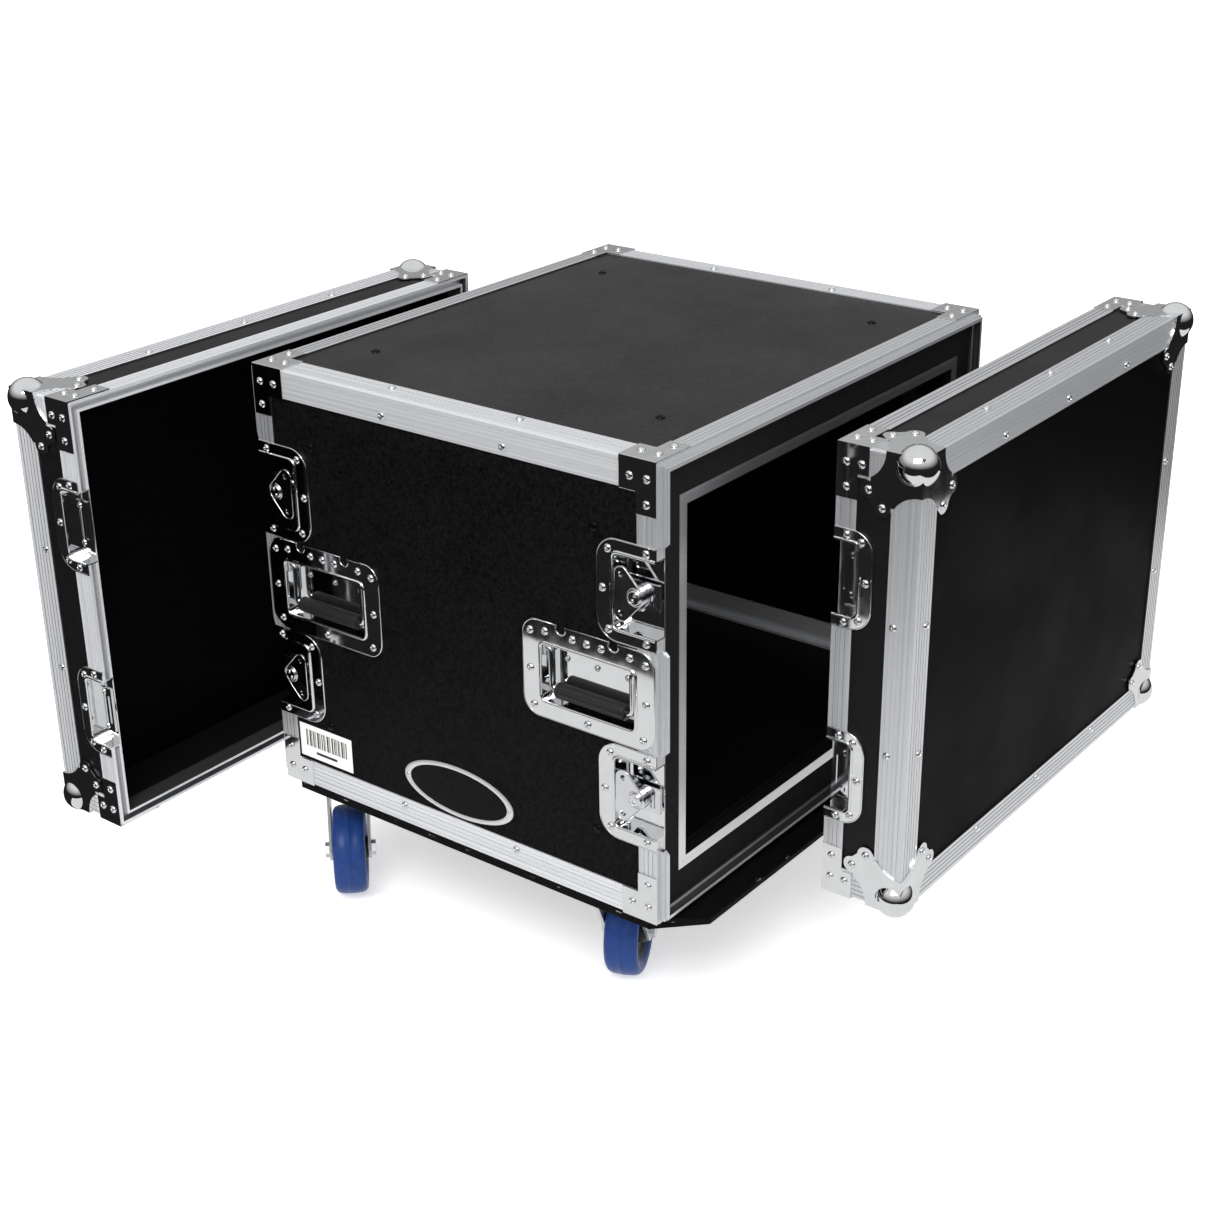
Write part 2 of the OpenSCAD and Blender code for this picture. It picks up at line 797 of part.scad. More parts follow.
module lid_corners(sy) {
    color("#c9cbce") lid_frame(sy)
        for (sx = [-1, 1], sz = [-1, 1]) {
            corner_frame(sx, sz, lid_y) ball_corner();
            corner_frame(sx, sz, hd) mirror([0, 1, 0]) brace(true, brace_short_lid);
        }
}

module lid_keeper_frames() {
    for (sx = [-1, 1], sz = [-1, 1])
        flip_x(sx) translate([hw, hd, mid_z + sz * latch_dz]) children();
}

module keeper_cut() {
    box(-pan_depth - plate, eps, -eps, keeper_pan + plate, -pan_half - plate, pan_half + plate);
}

module keeper() {
    difference() {
        union() {
            plate_x(0, plate) mirror([1, 0]) dish_outline(keeper_len, latch_half - 1);
            plate_x(-skin, skin) intersection() {
                mirror([1, 0]) dish_outline(keeper_len, latch_half - 1);
                translate([rim_leg, -latch_half]) square([keeper_len, 2 * latch_half]);
            }
            box(-pan_depth - plate, 0, 0, keeper_pan + plate, -pan_half - plate, pan_half + plate);
        }
        plate_x(-pan_depth, pan_depth + plate + eps) {
            translate([keeper_pan / 2, 0]) rounded(keeper_pan, 2 * pan_half, 8);
            translate([-pan_clear, -pan_half]) square([keeper_pan / 2 + pan_clear, 2 * pan_half]);
        }
    }
    difference() {
        box(-pan_depth - 0.2, -9.4, 3, 20, -25, 25);
        box(-10.6, -9, 6, 9, -16, 16);
    }
    for (s = [-1, 1]) translate([-10, 14, s * 20]) rotate([0, 90, 0])
        cylinder(h = 2, r1 = 3.6, r2 = 2.2);
}

module lid_keepers(sy) {
    color("#c9cbce") lid_frame(sy) lid_keeper_frames() keeper();
}

// Rivets along the outer edge angles, on one half of the lid
module edge_row(spots) {
    for (z = spots) {
        translate([0, -22, z]) rivet();
        mirror([1, -1, 0]) translate([0, -22, z]) rivet();
    }
}

module lid_rivets(sy) {
    color("#b9bbbe") lid_frame(sy) {
        for (sx = [-1, 1], sz = [-1, 1]) {
            corner_frame(sx, sz, lid_y) {
                ball_rivets();
                mirror([1, 0, -1]) ball_rivets();
                mirror([1, -1, 0]) ball_rivets();
            }
            corner_frame(sx, sz, hd) mirror([0, 1, 0]) {
                brace_rivets(brace_short_lid + 4);
                mirror([1, 0, -1]) brace_rivets(brace_short_lid + 4);
            }
        }
        for (sx = [-1, 1]) corner_frame(sx, 1, lid_y)
            translate([0, 0, -case_h / 2]) edge_row([-67, 67]);
        for (sz = [-1, 1]) translate([0, lid_y, mid_z]) rotate([0, sz * 90, 0])
            translate([case_h / 2, 0, 0]) edge_row([-135, 0, 135]);
        lid_keeper_frames()
            for (p = [[13, 44], [13, -44], [29, 39.5], [29, -39.5], [35, 0]])
                translate([plate, p[0], p[1]]) rivet();
    }
}

// ---------- assembly ----------

top_panel();
bottom_panel();
side_panels();
edge_angles();
rim_frames();
corner_braces();
case_rivets();
panel_screws();
foam_liner();
inner_sleeve();
inner_edging();
rack_rails();
side_bars();
caster_board();
caster_plates();
latch_dishes();
handle_dishes();
nameplate();
lid_panel(-1);  // front_lid_panel
lid_walls(-1);  // front_lid_walls
lid_edge_angles(-1);  // front_lid_edge_angles
lid_rim(-1);  // front_lid_rim
lid_corners(-1);  // front_lid_corners
lid_keepers(-1);  // front_lid_keepers
lid_rivets(-1);  // front_lid_rivets
lid_panel(1);  // rear_lid_panel
lid_walls(1);  // rear_lid_walls
lid_edge_angles(1);  // rear_lid_edge_angles
lid_rim(1);  // rear_lid_rim
lid_corners(1);  // rear_lid_corners
lid_keepers(1);  // rear_lid_keepers
lid_rivets(1);  // rear_lid_rivets
wing(-1, -1, 1);  // wing_left_front_upper
wing(-1, -1, -1);  // wing_left_front_lower
wing(-1, 1, 1);  // wing_left_rear_upper
wing(-1, 1, -1);  // wing_left_rear_lower
wing(1, -1, 1);  // wing_right_front_upper
wing(1, -1, -1);  // wing_right_front_lower
wing(1, 1, 1);  // wing_right_rear_upper
wing(1, 1, -1);  // wing_right_rear_lower
hook(-1, -1, 1);  // hook_left_front_upper
hook(-1, -1, -1);  // hook_left_front_lower
hook(-1, 1, 1);  // hook_left_rear_upper
hook(-1, 1, -1);  // hook_left_rear_lower
hook(1, -1, 1);  // hook_right_front_upper
hook(1, -1, -1);  // hook_right_front_lower
hook(1, 1, 1);  // hook_right_rear_upper
hook(1, 1, -1);  // hook_right_rear_lower
handle(-1, -1);  // handle_left_front
handle(-1, 1);  // handle_left_rear
handle(1, -1);  // handle_right_front
handle(1, 1);  // handle_right_rear
fork(-1, -1);  // fork_left_front
fork(-1, 1);  // fork_left_rear
fork(1, -1);  // fork_right_front
fork(1, 1);  // fork_right_rear
wheel(-1, -1);  // wheel_left_front
wheel(-1, 1);  // wheel_left_rear
wheel(1, -1);  // wheel_right_front
wheel(1, 1);  // wheel_right_rear
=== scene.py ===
import json
import math

import bmesh
import bpy
from mathutils import Matrix, Vector


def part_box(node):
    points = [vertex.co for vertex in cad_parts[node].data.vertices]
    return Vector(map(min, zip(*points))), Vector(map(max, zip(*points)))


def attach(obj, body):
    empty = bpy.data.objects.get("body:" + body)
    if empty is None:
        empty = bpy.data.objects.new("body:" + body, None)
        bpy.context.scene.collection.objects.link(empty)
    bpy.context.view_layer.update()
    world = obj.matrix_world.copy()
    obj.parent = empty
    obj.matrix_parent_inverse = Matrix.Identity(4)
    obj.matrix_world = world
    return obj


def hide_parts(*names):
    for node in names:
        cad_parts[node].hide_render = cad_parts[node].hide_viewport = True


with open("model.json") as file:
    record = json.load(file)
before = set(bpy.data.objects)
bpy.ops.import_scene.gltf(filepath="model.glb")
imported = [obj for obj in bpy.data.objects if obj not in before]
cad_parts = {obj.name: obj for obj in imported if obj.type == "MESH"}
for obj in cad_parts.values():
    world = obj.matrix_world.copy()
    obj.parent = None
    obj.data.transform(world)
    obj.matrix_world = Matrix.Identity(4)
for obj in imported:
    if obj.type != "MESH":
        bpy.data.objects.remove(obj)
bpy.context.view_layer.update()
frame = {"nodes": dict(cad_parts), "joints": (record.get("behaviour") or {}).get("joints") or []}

# Looks of a rack flight case: black laminate, ribbed aluminium, chromed hardware, blue casters.
# Metres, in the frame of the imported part. Most places come from the frame's nodes and joints.
# The rest are the named values below.

MM = 0.001
NODES = frame["nodes"]
JOINTS = {j["name"]: j for j in frame["joints"]}
SIDES = (("left", -1), ("right", 1))
ENDS = (("front", -1), ("rear", 1))
SHELL_LOW, SHELL_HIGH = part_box("edge_angles")
MID_Z = (SHELL_LOW.z + SHELL_HIGH.z) / 2
SIDE_X = SHELL_HIGH.x

# ---------- camera ----------

CAMERA_PLACE = Vector((-1.6049, -1.2106, 1.2067))
CAMERA_TURN = [math.radians(a) for a in (-52.24, 24.22, -0.77)]
LENS = 59.19
SENSOR = 36


def make_camera():
    azimuth, elevation, roll = CAMERA_TURN
    flat = math.cos(elevation)
    back = Vector((math.sin(azimuth) * flat, -math.cos(azimuth) * flat, math.sin(elevation)))
    right = Vector((math.cos(azimuth), math.sin(azimuth), 0))
    up = back.cross(right)
    turned_right = right * math.cos(roll) + up * math.sin(roll)
    turned_up = up * math.cos(roll) - right * math.sin(roll)
    camera = bpy.data.objects.new("camera", bpy.data.cameras.new("camera"))
    camera.data.lens = LENS
    camera.data.sensor_width = SENSOR
    rotation = Matrix((turned_right, turned_up, back)).transposed().to_4x4()
    camera.matrix_world = Matrix.Translation(CAMERA_PLACE) @ rotation
    bpy.context.scene.collection.objects.link(camera)
    bpy.context.scene.camera = camera


make_camera()

# ---------- materials ----------

LAMINATE_ROUGH = 0.45
MIX_COLORS = (6, 7)
MIX_COLOR_OUT = 2
MIX_VECTORS = (4, 5)
MIX_VECTOR_OUT = 1
PEBBLE_GRAIN = 330
PEBBLE_BUMP = (0.35, 0.0003)
GLOSS_PATCHES = 9
DIE_LINES = 420
SATIN = ((0.55, 0.56, 0.58), (0.67, 0.68, 0.7))
SATIN_ROUGH = (0.28, 0.36)
PLAIN_ALUMINIUM = ((0.6, 0.61, 0.63), 0.3)
# Painted shade: dark grey for the sides of a ring of bars that look into its opening.
INNER_PAINTED_SHADE = ((0.045, 0.045, 0.047), (0.11, 0.11, 0.115))
PLATE_HAZE = 60
PLATE_WAVE = 22
PLATE_WAVE_DEPTH = 0.002

def add(tree, kind, inputs=None, **settings):
    """A new node, with its settings, and its inputs set to numbers or linked to sockets."""
    node = tree.nodes.new(kind)
    for key, value in settings.items():
        setattr(node, key, value)
    for key, value in (inputs or {}).items():
        if isinstance(value, bpy.types.NodeSocket):
            tree.links.new(value, node.inputs[key])
        else:
            node.inputs[key].default_value = value
    return node


def new_material(name, color, roughness, metallic=0.0, specular=0.5):
    made = bpy.data.materials.new(name)
    made.use_nodes = True
    tree = made.node_tree
    shader = tree.nodes["Principled BSDF"]
    shader.inputs["Base Color"].default_value = (*color, 1)
    shader.inputs["Roughness"].default_value = roughness
    shader.inputs["Metallic"].default_value = metallic
    shader.inputs["Specular IOR Level"].default_value = specular
    return made, tree, shader


def object_point(tree, stretch=(1, 1, 1)):
    place = add(tree, "ShaderNodeTexCoord").outputs["Object"]
    return add(tree, "ShaderNodeMapping", {"Vector": place, "Scale": stretch}).outputs["Vector"]


def noise(tree, scale, detail=3.0, vector=None, rough=0.5):
    vector = vector or object_point(tree)
    inputs = {"Vector": vector, "Scale": scale, "Detail": detail, "Roughness": rough}
    return add(tree, "ShaderNodeTexNoise", inputs).outputs["Fac"]


def spread(tree, value, low, high, start=0.3, end=0.7):
    """The value's range from start to end, spread over low to high."""
    inputs = {"Value": value, "From Min": start, "From Max": end, "To Min": low, "To Max": high}
    return add(tree, "ShaderNodeMapRange", inputs).outputs["Result"]


def blend_colors(tree, factor, first, second):
    """A mix of two colours, each given as numbers or as a socket."""
    inputs = {"Factor": factor}
    for socket, color in zip(MIX_COLORS, (first, second)):
        inputs[socket] = color if isinstance(color, bpy.types.NodeSocket) else (*color, 1)
    return add(tree, "ShaderNodeMix", inputs, data_type="RGBA").outputs[MIX_COLOR_OUT]


def bump(tree, shader, height, strength, depth):
    inputs = {"Height": height, "Strength": strength, "Distance": depth}
    tree.links.new(add(tree, "ShaderNodeBump", inputs).outputs["Normal"], shader.inputs["Normal"])


def laminate(name, dark, light, low=0.34, high=0.5, specular=0.04):
    """Fine pebbled black laminate whose gloss varies in wide patches."""
    made, tree, shader = new_material(name, dark, LAMINATE_ROUGH, specular=specular)
    pebbles = noise(tree, PEBBLE_GRAIN, 3, rough=0.6)
    patches = noise(tree, GLOSS_PATCHES, 4)
    tree.links.new(blend_colors(tree, spread(tree, pebbles, 0, 1), dark, light),
                   shader.inputs["Base Color"])
    tree.links.new(spread(tree, patches, low, high), shader.inputs["Roughness"])
    bump(tree, shader, pebbles, *PEBBLE_BUMP)
    return made


def streak_point(tree, box):
    """Coordinates stretched along each bar of a ring: along Z on the uprights, along X on the rest.

    Also 1 on faces that look in at the ring's middle, and 0 elsewhere: the mask for the painted shade on the
    inner sides.
    """
    low, high = box
    middle = (low + high) / 2
    half = (high - low) / 2
    place = add(tree, "ShaderNodeTexCoord").outputs["Object"]
    moved = add(tree, "ShaderNodeVectorMath", {0: place, 1: middle}, operation="SUBTRACT")
    size = add(tree, "ShaderNodeVectorMath", {0: moved.outputs[0]}, operation="ABSOLUTE")
    parts = add(tree, "ShaderNodeSeparateXYZ", {"Vector": size.outputs[0]})
    to_side = add(tree, "ShaderNodeMath", {0: half.x, 1: parts.outputs["X"]}, operation="SUBTRACT")
    to_top = add(tree, "ShaderNodeMath", {0: half.z, 1: parts.outputs["Z"]}, operation="SUBTRACT")
    upright = add(tree, "ShaderNodeMath", {0: to_side.outputs[0], 1: to_top.outputs[0]},
                  operation="LESS_THAN").outputs[0]
    along_x = object_point(tree, (0, 1, 1))
    along_z = object_point(tree, (1, 1, 0))
    ends = dict(zip(MIX_VECTORS, (along_x, along_z)))
    mix = add(tree, "ShaderNodeMix", {"Factor": upright, **ends}, data_type="VECTOR")
    normal = add(tree, "ShaderNodeTexCoord").outputs["Normal"]
    outward = add(tree, "ShaderNodeVectorMath", {0: moved.outputs[0], 1: normal}, operation="DOT_PRODUCT")
    inward = add(tree, "ShaderNodeMath", {0: outward.outputs["Value"], 1: 0.0}, operation="LESS_THAN")
    return mix.outputs[MIX_VECTOR_OUT], inward.outputs[0]


def extrusion(name, box=None, dim=SATIN[0], bright=SATIN[1], metallic=0.72):
    """Satin aluminium with die lines along the bar. Without a box the bars run along Y.

    The inner sides of a ring of bars are painted dark grey, as painted shade on the faces that look into the
    ring's opening.
    """
    made, tree, shader = new_material(name, *PLAIN_ALUMINIUM, metallic=metallic)
    vector, inward = streak_point(tree, box) if box else (object_point(tree, (1, 0.002, 1)), None)
    lines = noise(tree, DIE_LINES, 2, vector)
    color = blend_colors(tree, spread(tree, lines, 0, 1), dim, bright)
    if box:
        # Faces looking into the ring get the painted shade colour.
        painted_shade = blend_colors(tree, spread(tree, lines, 0, 1), *INNER_PAINTED_SHADE)
        color = blend_colors(tree, inward, color, painted_shade)
    tree.links.new(color, shader.inputs["Base Color"])
    tree.links.new(spread(tree, lines, *SATIN_ROUGH), shader.inputs["Roughness"])
    return made


def plated(name, color, low, high, wave=0.05, metallic=1.0):
    """Plated metal whose sheet is not quite flat."""
    made, tree, shader = new_material(name, color, low, metallic=metallic)
    haze = noise(tree, PLATE_HAZE, 4)
    tree.links.new(spread(tree, haze, low, high), shader.inputs["Roughness"])
    tree.links.new(blend_colors(tree, spread(tree, haze, 0, 1), [0.93 * c for c in color], color),
                   shader.inputs["Base Color"])
    bump(tree, shader, noise(tree, PLATE_WAVE, 1), wave, PLATE_WAVE_DEPTH)
    return made


def grained(name, dark, light, scale, low, high, strength, depth, specular=0.4):
    """Matt material with a fine grain: foam, rubber, moulded plastic, paper or paint."""
    made, tree, shader = new_material(name, dark, low, specular=specular)
    grain = noise(tree, scale, 4)
    tree.links.new(blend_colors(tree, spread(tree, grain, 0, 1), dark, light),
                   shader.inputs["Base Color"])
    tree.links.new(spread(tree, noise(tree, scale / 12, 3), low, high), shader.inputs["Roughness"])
    bump(tree, shader, grain, strength, depth)
    return made


# One black laminate in several tones, set for how light falls on each part: the top panel is painted lighter
# and glossier (painted light), the lid faces are painted darker (painted shade), and the lid walls are a
# little lighter than the side panels.
PANEL = laminate("black_laminate", (0.0008, 0.0008, 0.0009), (0.0072, 0.0071, 0.0073))
WALL = laminate("black_laminate_walls", (0.0035, 0.0035, 0.0037), (0.008, 0.008, 0.0083), specular=0.15)
LID_LAMINATE_PAINTED_DARKER = laminate("black_laminate_lids_painted_darker", (0.0004, 0.0004, 0.0005), (0.0034, 0.0032, 0.0034), specular=0.02)
TOP_LAMINATE_PAINTED_LIGHTER = laminate("black_laminate_top_painted_lighter", (0.003, 0.003, 0.0031), (0.015, 0.0145, 0.0148), specular=0.22)
SLEEVE = laminate("sleeve_laminate", (0.0016, 0.0016, 0.0018), (0.0034, 0.0034, 0.0038), 0.26, 0.4)
BOARD = laminate("board_laminate", (0.002, 0.002, 0.002), (0.005, 0.005, 0.005), 0.42, 0.6)
LONG_BAR = extrusion("aluminium_along_y", dim=(0.6, 0.61, 0.63), bright=(0.8, 0.81, 0.83), metallic=0.56)
CHROME = plated("chrome", (0.86, 0.87, 0.88), 0.03, 0.08)
RIVET = plated("rivet_steel", (0.84, 0.85, 0.86), 0.1, 0.2)
ZINC = plated("zinc_plate", (0.8, 0.81, 0.83), 0.09, 0.12, 0.003)
GALVANISED = plated("zinc_pressing", (0.66, 0.67, 0.69), 0.26, 0.42, metallic=0.85)
FOAM = grained("black_foam", (0.003, 0.003, 0.003), (0.011, 0.011, 0.011), 900, 0.85, 1.0, 0.6, 0.0008, 0.15)
RUBBER = grained("grip_rubber", (0.006, 0.006, 0.006), (0.014, 0.014, 0.014), 700, 0.4, 0.6, 0.3, 0.0003)
BLACK_STEEL = grained("black_powder_coat", (0.008,) * 3, (0.016,) * 3, 800, 0.4, 0.55, 0.3, 0.0003)
BLACK_SCREW = grained("black_oxide", (0.001,) * 3, (0.003,) * 3, 300, 0.16, 0.24, 0.1, 0.0002, 0.12)
TYRE = grained("blue_tyre", (0.011, 0.036, 0.15), (0.015, 0.047, 0.19), 160, 0.26, 0.38, 0.08, 0.0003, 0.2)
CORE = grained("wheel_core", (0.008, 0.008, 0.009), (0.018, 0.018, 0.02), 400, 0.4, 0.55, 0.2, 0.0003)
PAPER = grained("label_paper", (0.72, 0.72, 0.7), (0.8, 0.8, 0.78), 500, 0.5, 0.65, 0.1, 0.0001)
INK = grained("label_ink", (0.012, 0.012, 0.012), (0.03, 0.03, 0.03), 500, 0.45, 0.6, 0.1, 0.0001)
BADGE_RIM = plated("badge_aluminium", (0.66, 0.66, 0.68), 0.3, 0.42, 0.02, 0.6)
BADGE_FACE = grained("badge_face", (0.001,) * 3, (0.003,) * 3, 250, 0.2, 0.3, 0.05, 0.0002, 0.08)


BOARD_EDGE_DROP = 6.6 * MM
SCUFF_HALF = (0.15 * MM, 0.7 * MM)
SCUFF_GRAIN = 38
SCUFF_CUT = (0.58, 0.62)
SCUFF_TONE = 0.3


def scuff(surface, level):
    """Pale rub marks along an edge at a level."""
    tree = surface.node_tree
    shader = tree.nodes["Principled BSDF"]
    clean = shader.inputs["Base Color"].links[0].from_socket
    place = add(tree, "ShaderNodeTexCoord").outputs["Object"]
    height = add(tree, "ShaderNodeSeparateXYZ", {"Vector": place}).outputs["Z"]
    away = add(tree, "ShaderNodeMath", {0: height, 1: level}, operation="SUBTRACT").outputs[0]
    away = add(tree, "ShaderNodeMath", {0: away}, operation="ABSOLUTE").outputs[0]
    near = spread(tree, away, 1, 0, *SCUFF_HALF)
    marks = spread(tree, noise(tree, SCUFF_GRAIN, 6, rough=0.75), 0, 1, *SCUFF_CUT)
    both = add(tree, "ShaderNodeMath", {0: near, 1: marks}, operation="MULTIPLY").outputs[0]
    worn = blend_colors(tree, both, clean, (SCUFF_TONE,) * 3)
    tree.links.new(worn, shader.inputs["Base Color"])


def dress(surface, *names):
    """Gives CAD nodes a material."""
    for name in names:
        mesh_slots = NODES[name].material_slots
        if not mesh_slots:
            NODES[name].data.materials.append(surface)
        for one in mesh_slots:
            one.material = surface


MERGE = 0.01 * MM
SOFT_ANGLE = math.radians(32)
CRISP_ANGLE = math.radians(28)
DISH_EDGE = 0.5 * MM
FORK_EDGE = 0.6 * MM
BOARD_EDGE = 0.8 * MM


def soften(width, *names):
    """Rounds the sharp edges of CAD nodes with modifiers, so that they catch the light."""
    for name in names:
        weld = NODES[name].modifiers.new("weld", "WELD")
        weld.merge_threshold = MERGE
        edge = NODES[name].modifiers.new("edge", "BEVEL")
        edge.width = width
        edge.segments = 2
        edge.limit_method = "ANGLE"
        edge.angle_limit = SOFT_ANGLE
        edge.use_clamp_overlap = True
        edge.miter_outer = "MITER_ARC"
        smooth = NODES[name].modifiers.new("normals", "WEIGHTED_NORMAL")
        smooth.keep_sharp = True


def crisp(*names):
    """Keeps the flat faces of thin CAD nodes flat up to their sharp edges, with modifiers."""
    for name in names:
        weld = NODES[name].modifiers.new("weld", "WELD")
        weld.merge_threshold = MERGE
        split = NODES[name].modifiers.new("split", "EDGE_SPLIT")
        split.split_angle = CRISP_ANGLE
        flat = NODES[name].modifiers.new("normals", "WEIGHTED_NORMAL")
        flat.weight = 100
        flat.keep_sharp = True


# Lid bar tones are set for how light falls: the rear lid's bars are painted lighter than the front lid's, as
# painted light.
LID_METAL = {"front": (*SATIN, 0.72),
             "rear": ((0.6, 0.61, 0.64), (0.88, 0.89, 0.92), 0.5)}
dress(PANEL, "bottom_panel", "side_panels")
dress(TOP_LAMINATE_PAINTED_LIGHTER, "top_panel")
dress(LONG_BAR, "edge_angles", "side_bars")
dress(extrusion("aluminium_case_rim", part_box("rim_frames")), "rim_frames")
# The sleeve edging is painted much brighter than the other aluminium, as painted light for the light it
# catches.
EDGING_PAINTED_BRIGHT = extrusion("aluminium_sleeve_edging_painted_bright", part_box("inner_edging"), (0.84, 0.85, 0.87),
                   (0.94, 0.95, 0.96), 0.97)
dress(EDGING_PAINTED_BRIGHT, "inner_edging")
dress(CHROME, "corner_braces", "latch_dishes", "handle_dishes")
dress(FOAM, "foam_liner")
dress(SLEEVE, "inner_sleeve")
dress(BLACK_STEEL, "rack_rails")
dress(BOARD, "caster_board")
scuff(BOARD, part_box("caster_board")[1].z - BOARD_EDGE_DROP)
dress(GALVANISED, "caster_plates")
for end, _ in ENDS:
    lid_bars = extrusion(f"aluminium_{end}_lid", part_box(f"{end}_lid_edge_angles"), *LID_METAL[end])
    dress(WALL, f"{end}_lid_walls")
    dress(LID_LAMINATE_PAINTED_DARKER, f"{end}_lid_panel")
    dress(lid_bars, f"{end}_lid_edge_angles", f"{end}_lid_rim")
    dress(CHROME, f"{end}_lid_corners", f"{end}_lid_keepers")
    crisp(f"{end}_lid_keepers")
soften(DISH_EDGE, "handle_dishes", "corner_braces")
crisp("latch_dishes")
soften(BOARD_EDGE, "caster_board", "caster_plates")
for name in NODES:
    if name.startswith(("wing_", "hook_")):
        dress(ZINC, name)
        crisp(name)
    if name.startswith("fork_"):
        dress(GALVANISED, name)
        soften(FORK_EDGE, name)

# ---------- mesh helpers ----------


def piece(name, build, surface, body, replaces=(), smooth=40):
    """A mesh piece filled by build(bm), riding on a CAD body."""
    mesh = bpy.data.meshes.new(name)
    bm = bmesh.new()
    build(bm)
    bmesh.ops.recalc_face_normals(bm, faces=bm.faces)
    bm.to_mesh(mesh)
    bm.free()
    made = bpy.data.objects.new(name, mesh)
    bpy.context.scene.collection.objects.link(made)
    mesh.materials.append(surface)
    mesh.shade_smooth()
    mesh.set_sharp_from_angle(angle=math.radians(smooth))
    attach(made, body)
    if replaces:
        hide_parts(*replaces)


def lathe(bm, profile, place, steps, ripple=None):
    """Turns a profile of (radius, height) round the local Z axis of place."""
    rings = []
    for radius, height in profile:
        if radius == 0:
            rings.append([bm.verts.new(place @ Vector((0, 0, height)))])
            continue
        ring = []
        for step in range(steps):
            angle = math.tau * step / steps
            reach = radius + (ripple(angle, height) if ripple else 0)
            point = Vector((reach * math.cos(angle), reach * math.sin(angle), height))
            ring.append(bm.verts.new(place @ point))
        rings.append(ring)
    for near, far in zip(rings, rings[1:]):
        for step in range(steps):
            after = (step + 1) % steps
            corners = [near[step % len(near)], near[after % len(near)],
                       far[after % len(far)], far[step % len(far)]]
            unique = list(dict.fromkeys(corners))
            if len(unique) > 2:
                bm.faces.new(unique)


def facing(place, axis):
    """A frame at a place whose local Z axis points along axis."""
    return Matrix.Translation(place) @ Vector(axis).to_track_quat("Z", "Y").to_matrix().to_4x4()


def islands(name):
    """The separate solids of a CAD node, each as a list of its points."""
    mesh = NODES[name].data
    keys = [tuple(round(c * 1e5) for c in v.co) for v in mesh.vertices]
    parent = {k: k for k in keys}

    def root(key):
        while parent[key] != key:
            parent[key] = parent[parent[key]]
            key = parent[key]
        return key

    for edge in mesh.edges:
        first, second = (root(keys[i]) for i in edge.vertices)
        parent[first] = second
    groups = {}
    for vertex, key in zip(mesh.vertices, keys):
        groups.setdefault(root(key), []).append(vertex.co)
    return list(groups.values())


def limits(points):
    low = Vector([min(p[i] for p in points) for i in range(3)])
    high = Vector([max(p[i] for p in points) for i in range(3)])
    return low, high


def head_frame(points):
    """The frame of a rivet or screw head: on its sheet, with Z pointing away from it."""
    low, high = limits(points)
    size = high - low
    axis = min(range(3), key=lambda i: size[i])
    middle = (low + high) / 2
    tall = size[axis]

    def reach(level):
        near = [p for p in points if abs(p[axis] - level) < tall / 5]
        return max((p - middle).length for p in near)

    outward = 1 if reach(low[axis]) > reach(high[axis]) else -1
    base = middle.copy()
    base[axis] = low[axis] if outward > 0 else high[axis]
    direction = Vector((0, 0, 0))
    direction[axis] = outward
    return facing(base, direction)


def outline_tube(name, outlines, radius, surface, body, closed=True):
    """Round beads along outlines, as one curve piece."""
    data = bpy.data.curves.new(name, "CURVE")
    data.dimensions = "3D"
    data.bevel_depth = radius
    data.bevel_resolution = 3
    data.use_fill_caps = True
    for points in outlines:
        spline = data.splines.new("POLY")
        spline.points.add(len(points) - 1)
        for target, point in zip(spline.points, points):
            target.co = (*point, 1)
        spline.use_cyclic_u = closed
    data.materials.append(surface)
    made = bpy.data.objects.new(name, data)
    bpy.context.scene.collection.objects.link(made)
    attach(made, body)


def arc(centre, radius, start, end, steps=8):
    """Points (a, b) on an arc, with its angles in degrees."""
    angles = [math.radians(start + (end - start) * i / steps) for i in range(steps + 1)]
    return [(centre[0] + radius * math.cos(a), centre[1] + radius * math.sin(a)) for a in angles]


def rounded_outline(width, height, radius):
    a, b = width / 2 - radius, height / 2 - radius
    corners = (((a, b), 0), ((-a, b), 90), ((-a, -b), 180), ((a, -b), 270))
    return [p for centre, start in corners for p in arc(centre, radius, start, start + 90)]


# ---------- rivets and screws ----------

HEAD_STEPS = 20
HEAD_SMOOTH = 50
RIVET_R = 4.1 * MM
RIVET_H = 2 * MM
RIVET_SHAPE = ((1, 0), (0.98, 0.25), (0.88, 0.62), (0.7, 0.92), (0.52, 1), (0.42, 0.96), (0.36, 0.7),
               (0.3, 0.1), (0, 0.05))
SCREW_R = 4.8 * MM
SCREW_H = 2 * MM
SCREW_SHAPE = ((1, 0), (0.95, 0.35), (0.8, 0.72), (0.55, 0.95), (0.4, 1), (0.3, 0.55), (0, 0.5))


def turned_heads(name, profile, places, surface, body, replaces=()):
    """One piece of equal round heads, one at each place."""
    def build(bm):
        for place in places:
            lathe(bm, profile, place, HEAD_STEPS)

    piece(name, build, surface, body, replaces, HEAD_SMOOTH)


def heads(name, node, shape, radius, height, surface, body):
    """Heads in place of the rivets or screws of a CAD node."""
    profile = [(r * radius, h * height) for r, h in shape]
    places = [head_frame(points) for points in islands(node)]
    turned_heads(name, profile, places, surface, body, (node,))


heads("case_rivet_heads", "case_rivets", RIVET_SHAPE, RIVET_R, RIVET_H, RIVET, "root")
heads("panel_screw_heads", "panel_screws", SCREW_SHAPE, SCREW_R, SCREW_H, BLACK_SCREW, "root")
for end, _ in ENDS:
    heads(f"{end}_lid_rivet_heads", f"{end}_lid_rivets", RIVET_SHAPE, RIVET_R, RIVET_H, RIVET,
          f"{end}_lid")

# ---------- beads and rolled edges of the dishes ----------

